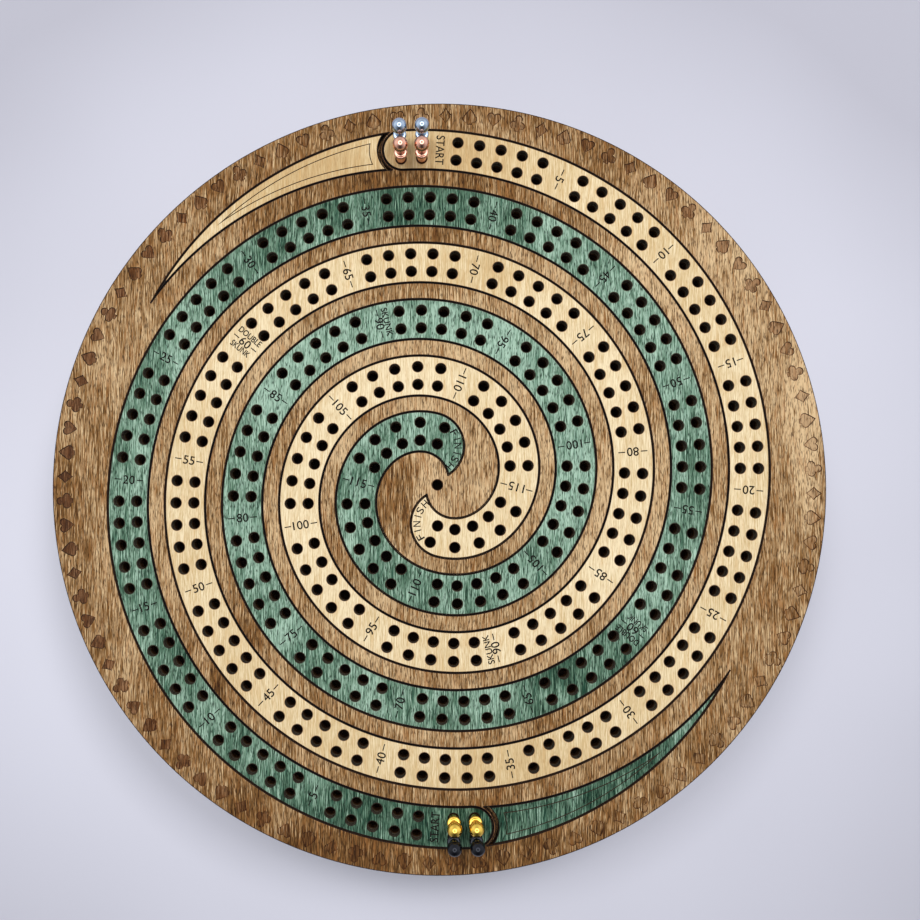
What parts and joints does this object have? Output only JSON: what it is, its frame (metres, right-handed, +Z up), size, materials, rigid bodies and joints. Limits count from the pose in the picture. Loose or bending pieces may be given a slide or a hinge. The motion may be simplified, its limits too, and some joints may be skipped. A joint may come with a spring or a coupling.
{
  "type": "round cribbage box with drawer",
  "caption": "Round stacked plywood cribbage box: two-lane spiral peg tracks inlaid in the lid board, metal pegs, and a curved drawer below for cards.",
  "frame": {"origin": "middle of the footprint, on the table under the feet", "axes": "+Z up through the peg board; the drawer opens towards -Y; +Y is the side where the natural track starts"},
  "size_m": [0.254, 0.254, 0.0587],
  "materials": {
    "stained_ply": "brown stained plywood with a thin matt finish, laser-darkened edges",
    "natural_ply": "pale natural birch plywood, matt",
    "green_ply": "green stained plywood with streaks, matt",
    "rubber": "black self-adhesive rubber",
    "magnet": "nickel plated disc magnet",
    "silver_peg": "bright plated turned metal",
    "copper_peg": "bright rose copper plated turned metal",
    "gold_peg": "bright gold plated turned metal",
    "black_peg": "glossy black plated turned metal"
  },
  "bodies": {
    "case": {"foot_1": "rubber", "foot_2": "rubber", "foot_3": "rubber", "foot_4": "rubber", "base_board": "stained_ply", "wall_ring_1": "stained_ply", "wall_ring_2": "stained_ply", "wall_ring_3": "stained_ply", "wall_ring_4": "stained_ply", "bay_rail_left": "natural_ply", "bay_rail_right": "natural_ply", "bay_back": "natural_ply", "case_magnet": "magnet", "drawer_stop": "natural_ply", "peg_floor": "stained_ply", "hole_plate": "stained_ply", "top_board": "stained_ply", "natural_track": "natural_ply", "green_track": "green_ply", "natural_tail": "natural_ply", "green_tail": "green_ply"},
    "drawer": {"drawer_front_1": "stained_ply", "drawer_front_2": "stained_ply", "drawer_front_3_left": "stained_ply", "drawer_front_3_right": "stained_ply", "drawer_front_4_left": "stained_ply", "drawer_front_4_right": "stained_ply", "drawer_bottom": "natural_ply", "drawer_side_left": "natural_ply", "drawer_side_right": "natural_ply", "drawer_back": "natural_ply", "drawer_magnet": "magnet", "tray_divider": "natural_ply", "deck_divider": "natural_ply"},
    "silver_peg_1": {"silver_peg_1": "silver_peg"},
    "silver_peg_2": {"silver_peg_2": "silver_peg"},
    "copper_peg_1": {"copper_peg_1": "copper_peg"},
    "copper_peg_2": {"copper_peg_2": "copper_peg"},
    "gold_peg_1": {"gold_peg_1": "gold_peg"},
    "gold_peg_2": {"gold_peg_2": "gold_peg"},
    "black_peg_1": {"black_peg_1": "black_peg"},
    "black_peg_2": {"black_peg_2": "black_peg"}
  },
  "joints": [
    {"name": "drawer_slide", "type": "slide", "parent": "case", "child": "drawer", "axis": [0, -1, 0], "range_m": [0, 0.115]},
    {"name": "silver_peg_1_lift", "type": "slide", "parent": "case", "child": "silver_peg_1", "axis": [0, 0, 1], "range_m": [0, 0.014]},
    {"name": "silver_peg_2_lift", "type": "slide", "parent": "case", "child": "silver_peg_2", "axis": [0, 0, 1], "range_m": [0, 0.014]},
    {"name": "copper_peg_1_lift", "type": "slide", "parent": "case", "child": "copper_peg_1", "axis": [0, 0, 1], "range_m": [0, 0.014]},
    {"name": "copper_peg_2_lift", "type": "slide", "parent": "case", "child": "copper_peg_2", "axis": [0, 0, 1], "range_m": [0, 0.014]},
    {"name": "gold_peg_1_lift", "type": "slide", "parent": "case", "child": "gold_peg_1", "axis": [0, 0, 1], "range_m": [0, 0.014]},
    {"name": "gold_peg_2_lift", "type": "slide", "parent": "case", "child": "gold_peg_2", "axis": [0, 0, 1], "range_m": [0, 0.014]},
    {"name": "black_peg_1_lift", "type": "slide", "parent": "case", "child": "black_peg_1", "axis": [0, 0, 1], "range_m": [0, 0.014]},
    {"name": "black_peg_2_lift", "type": "slide", "parent": "case", "child": "black_peg_2", "axis": [0, 0, 1], "range_m": [0, 0.014]}
  ]
}
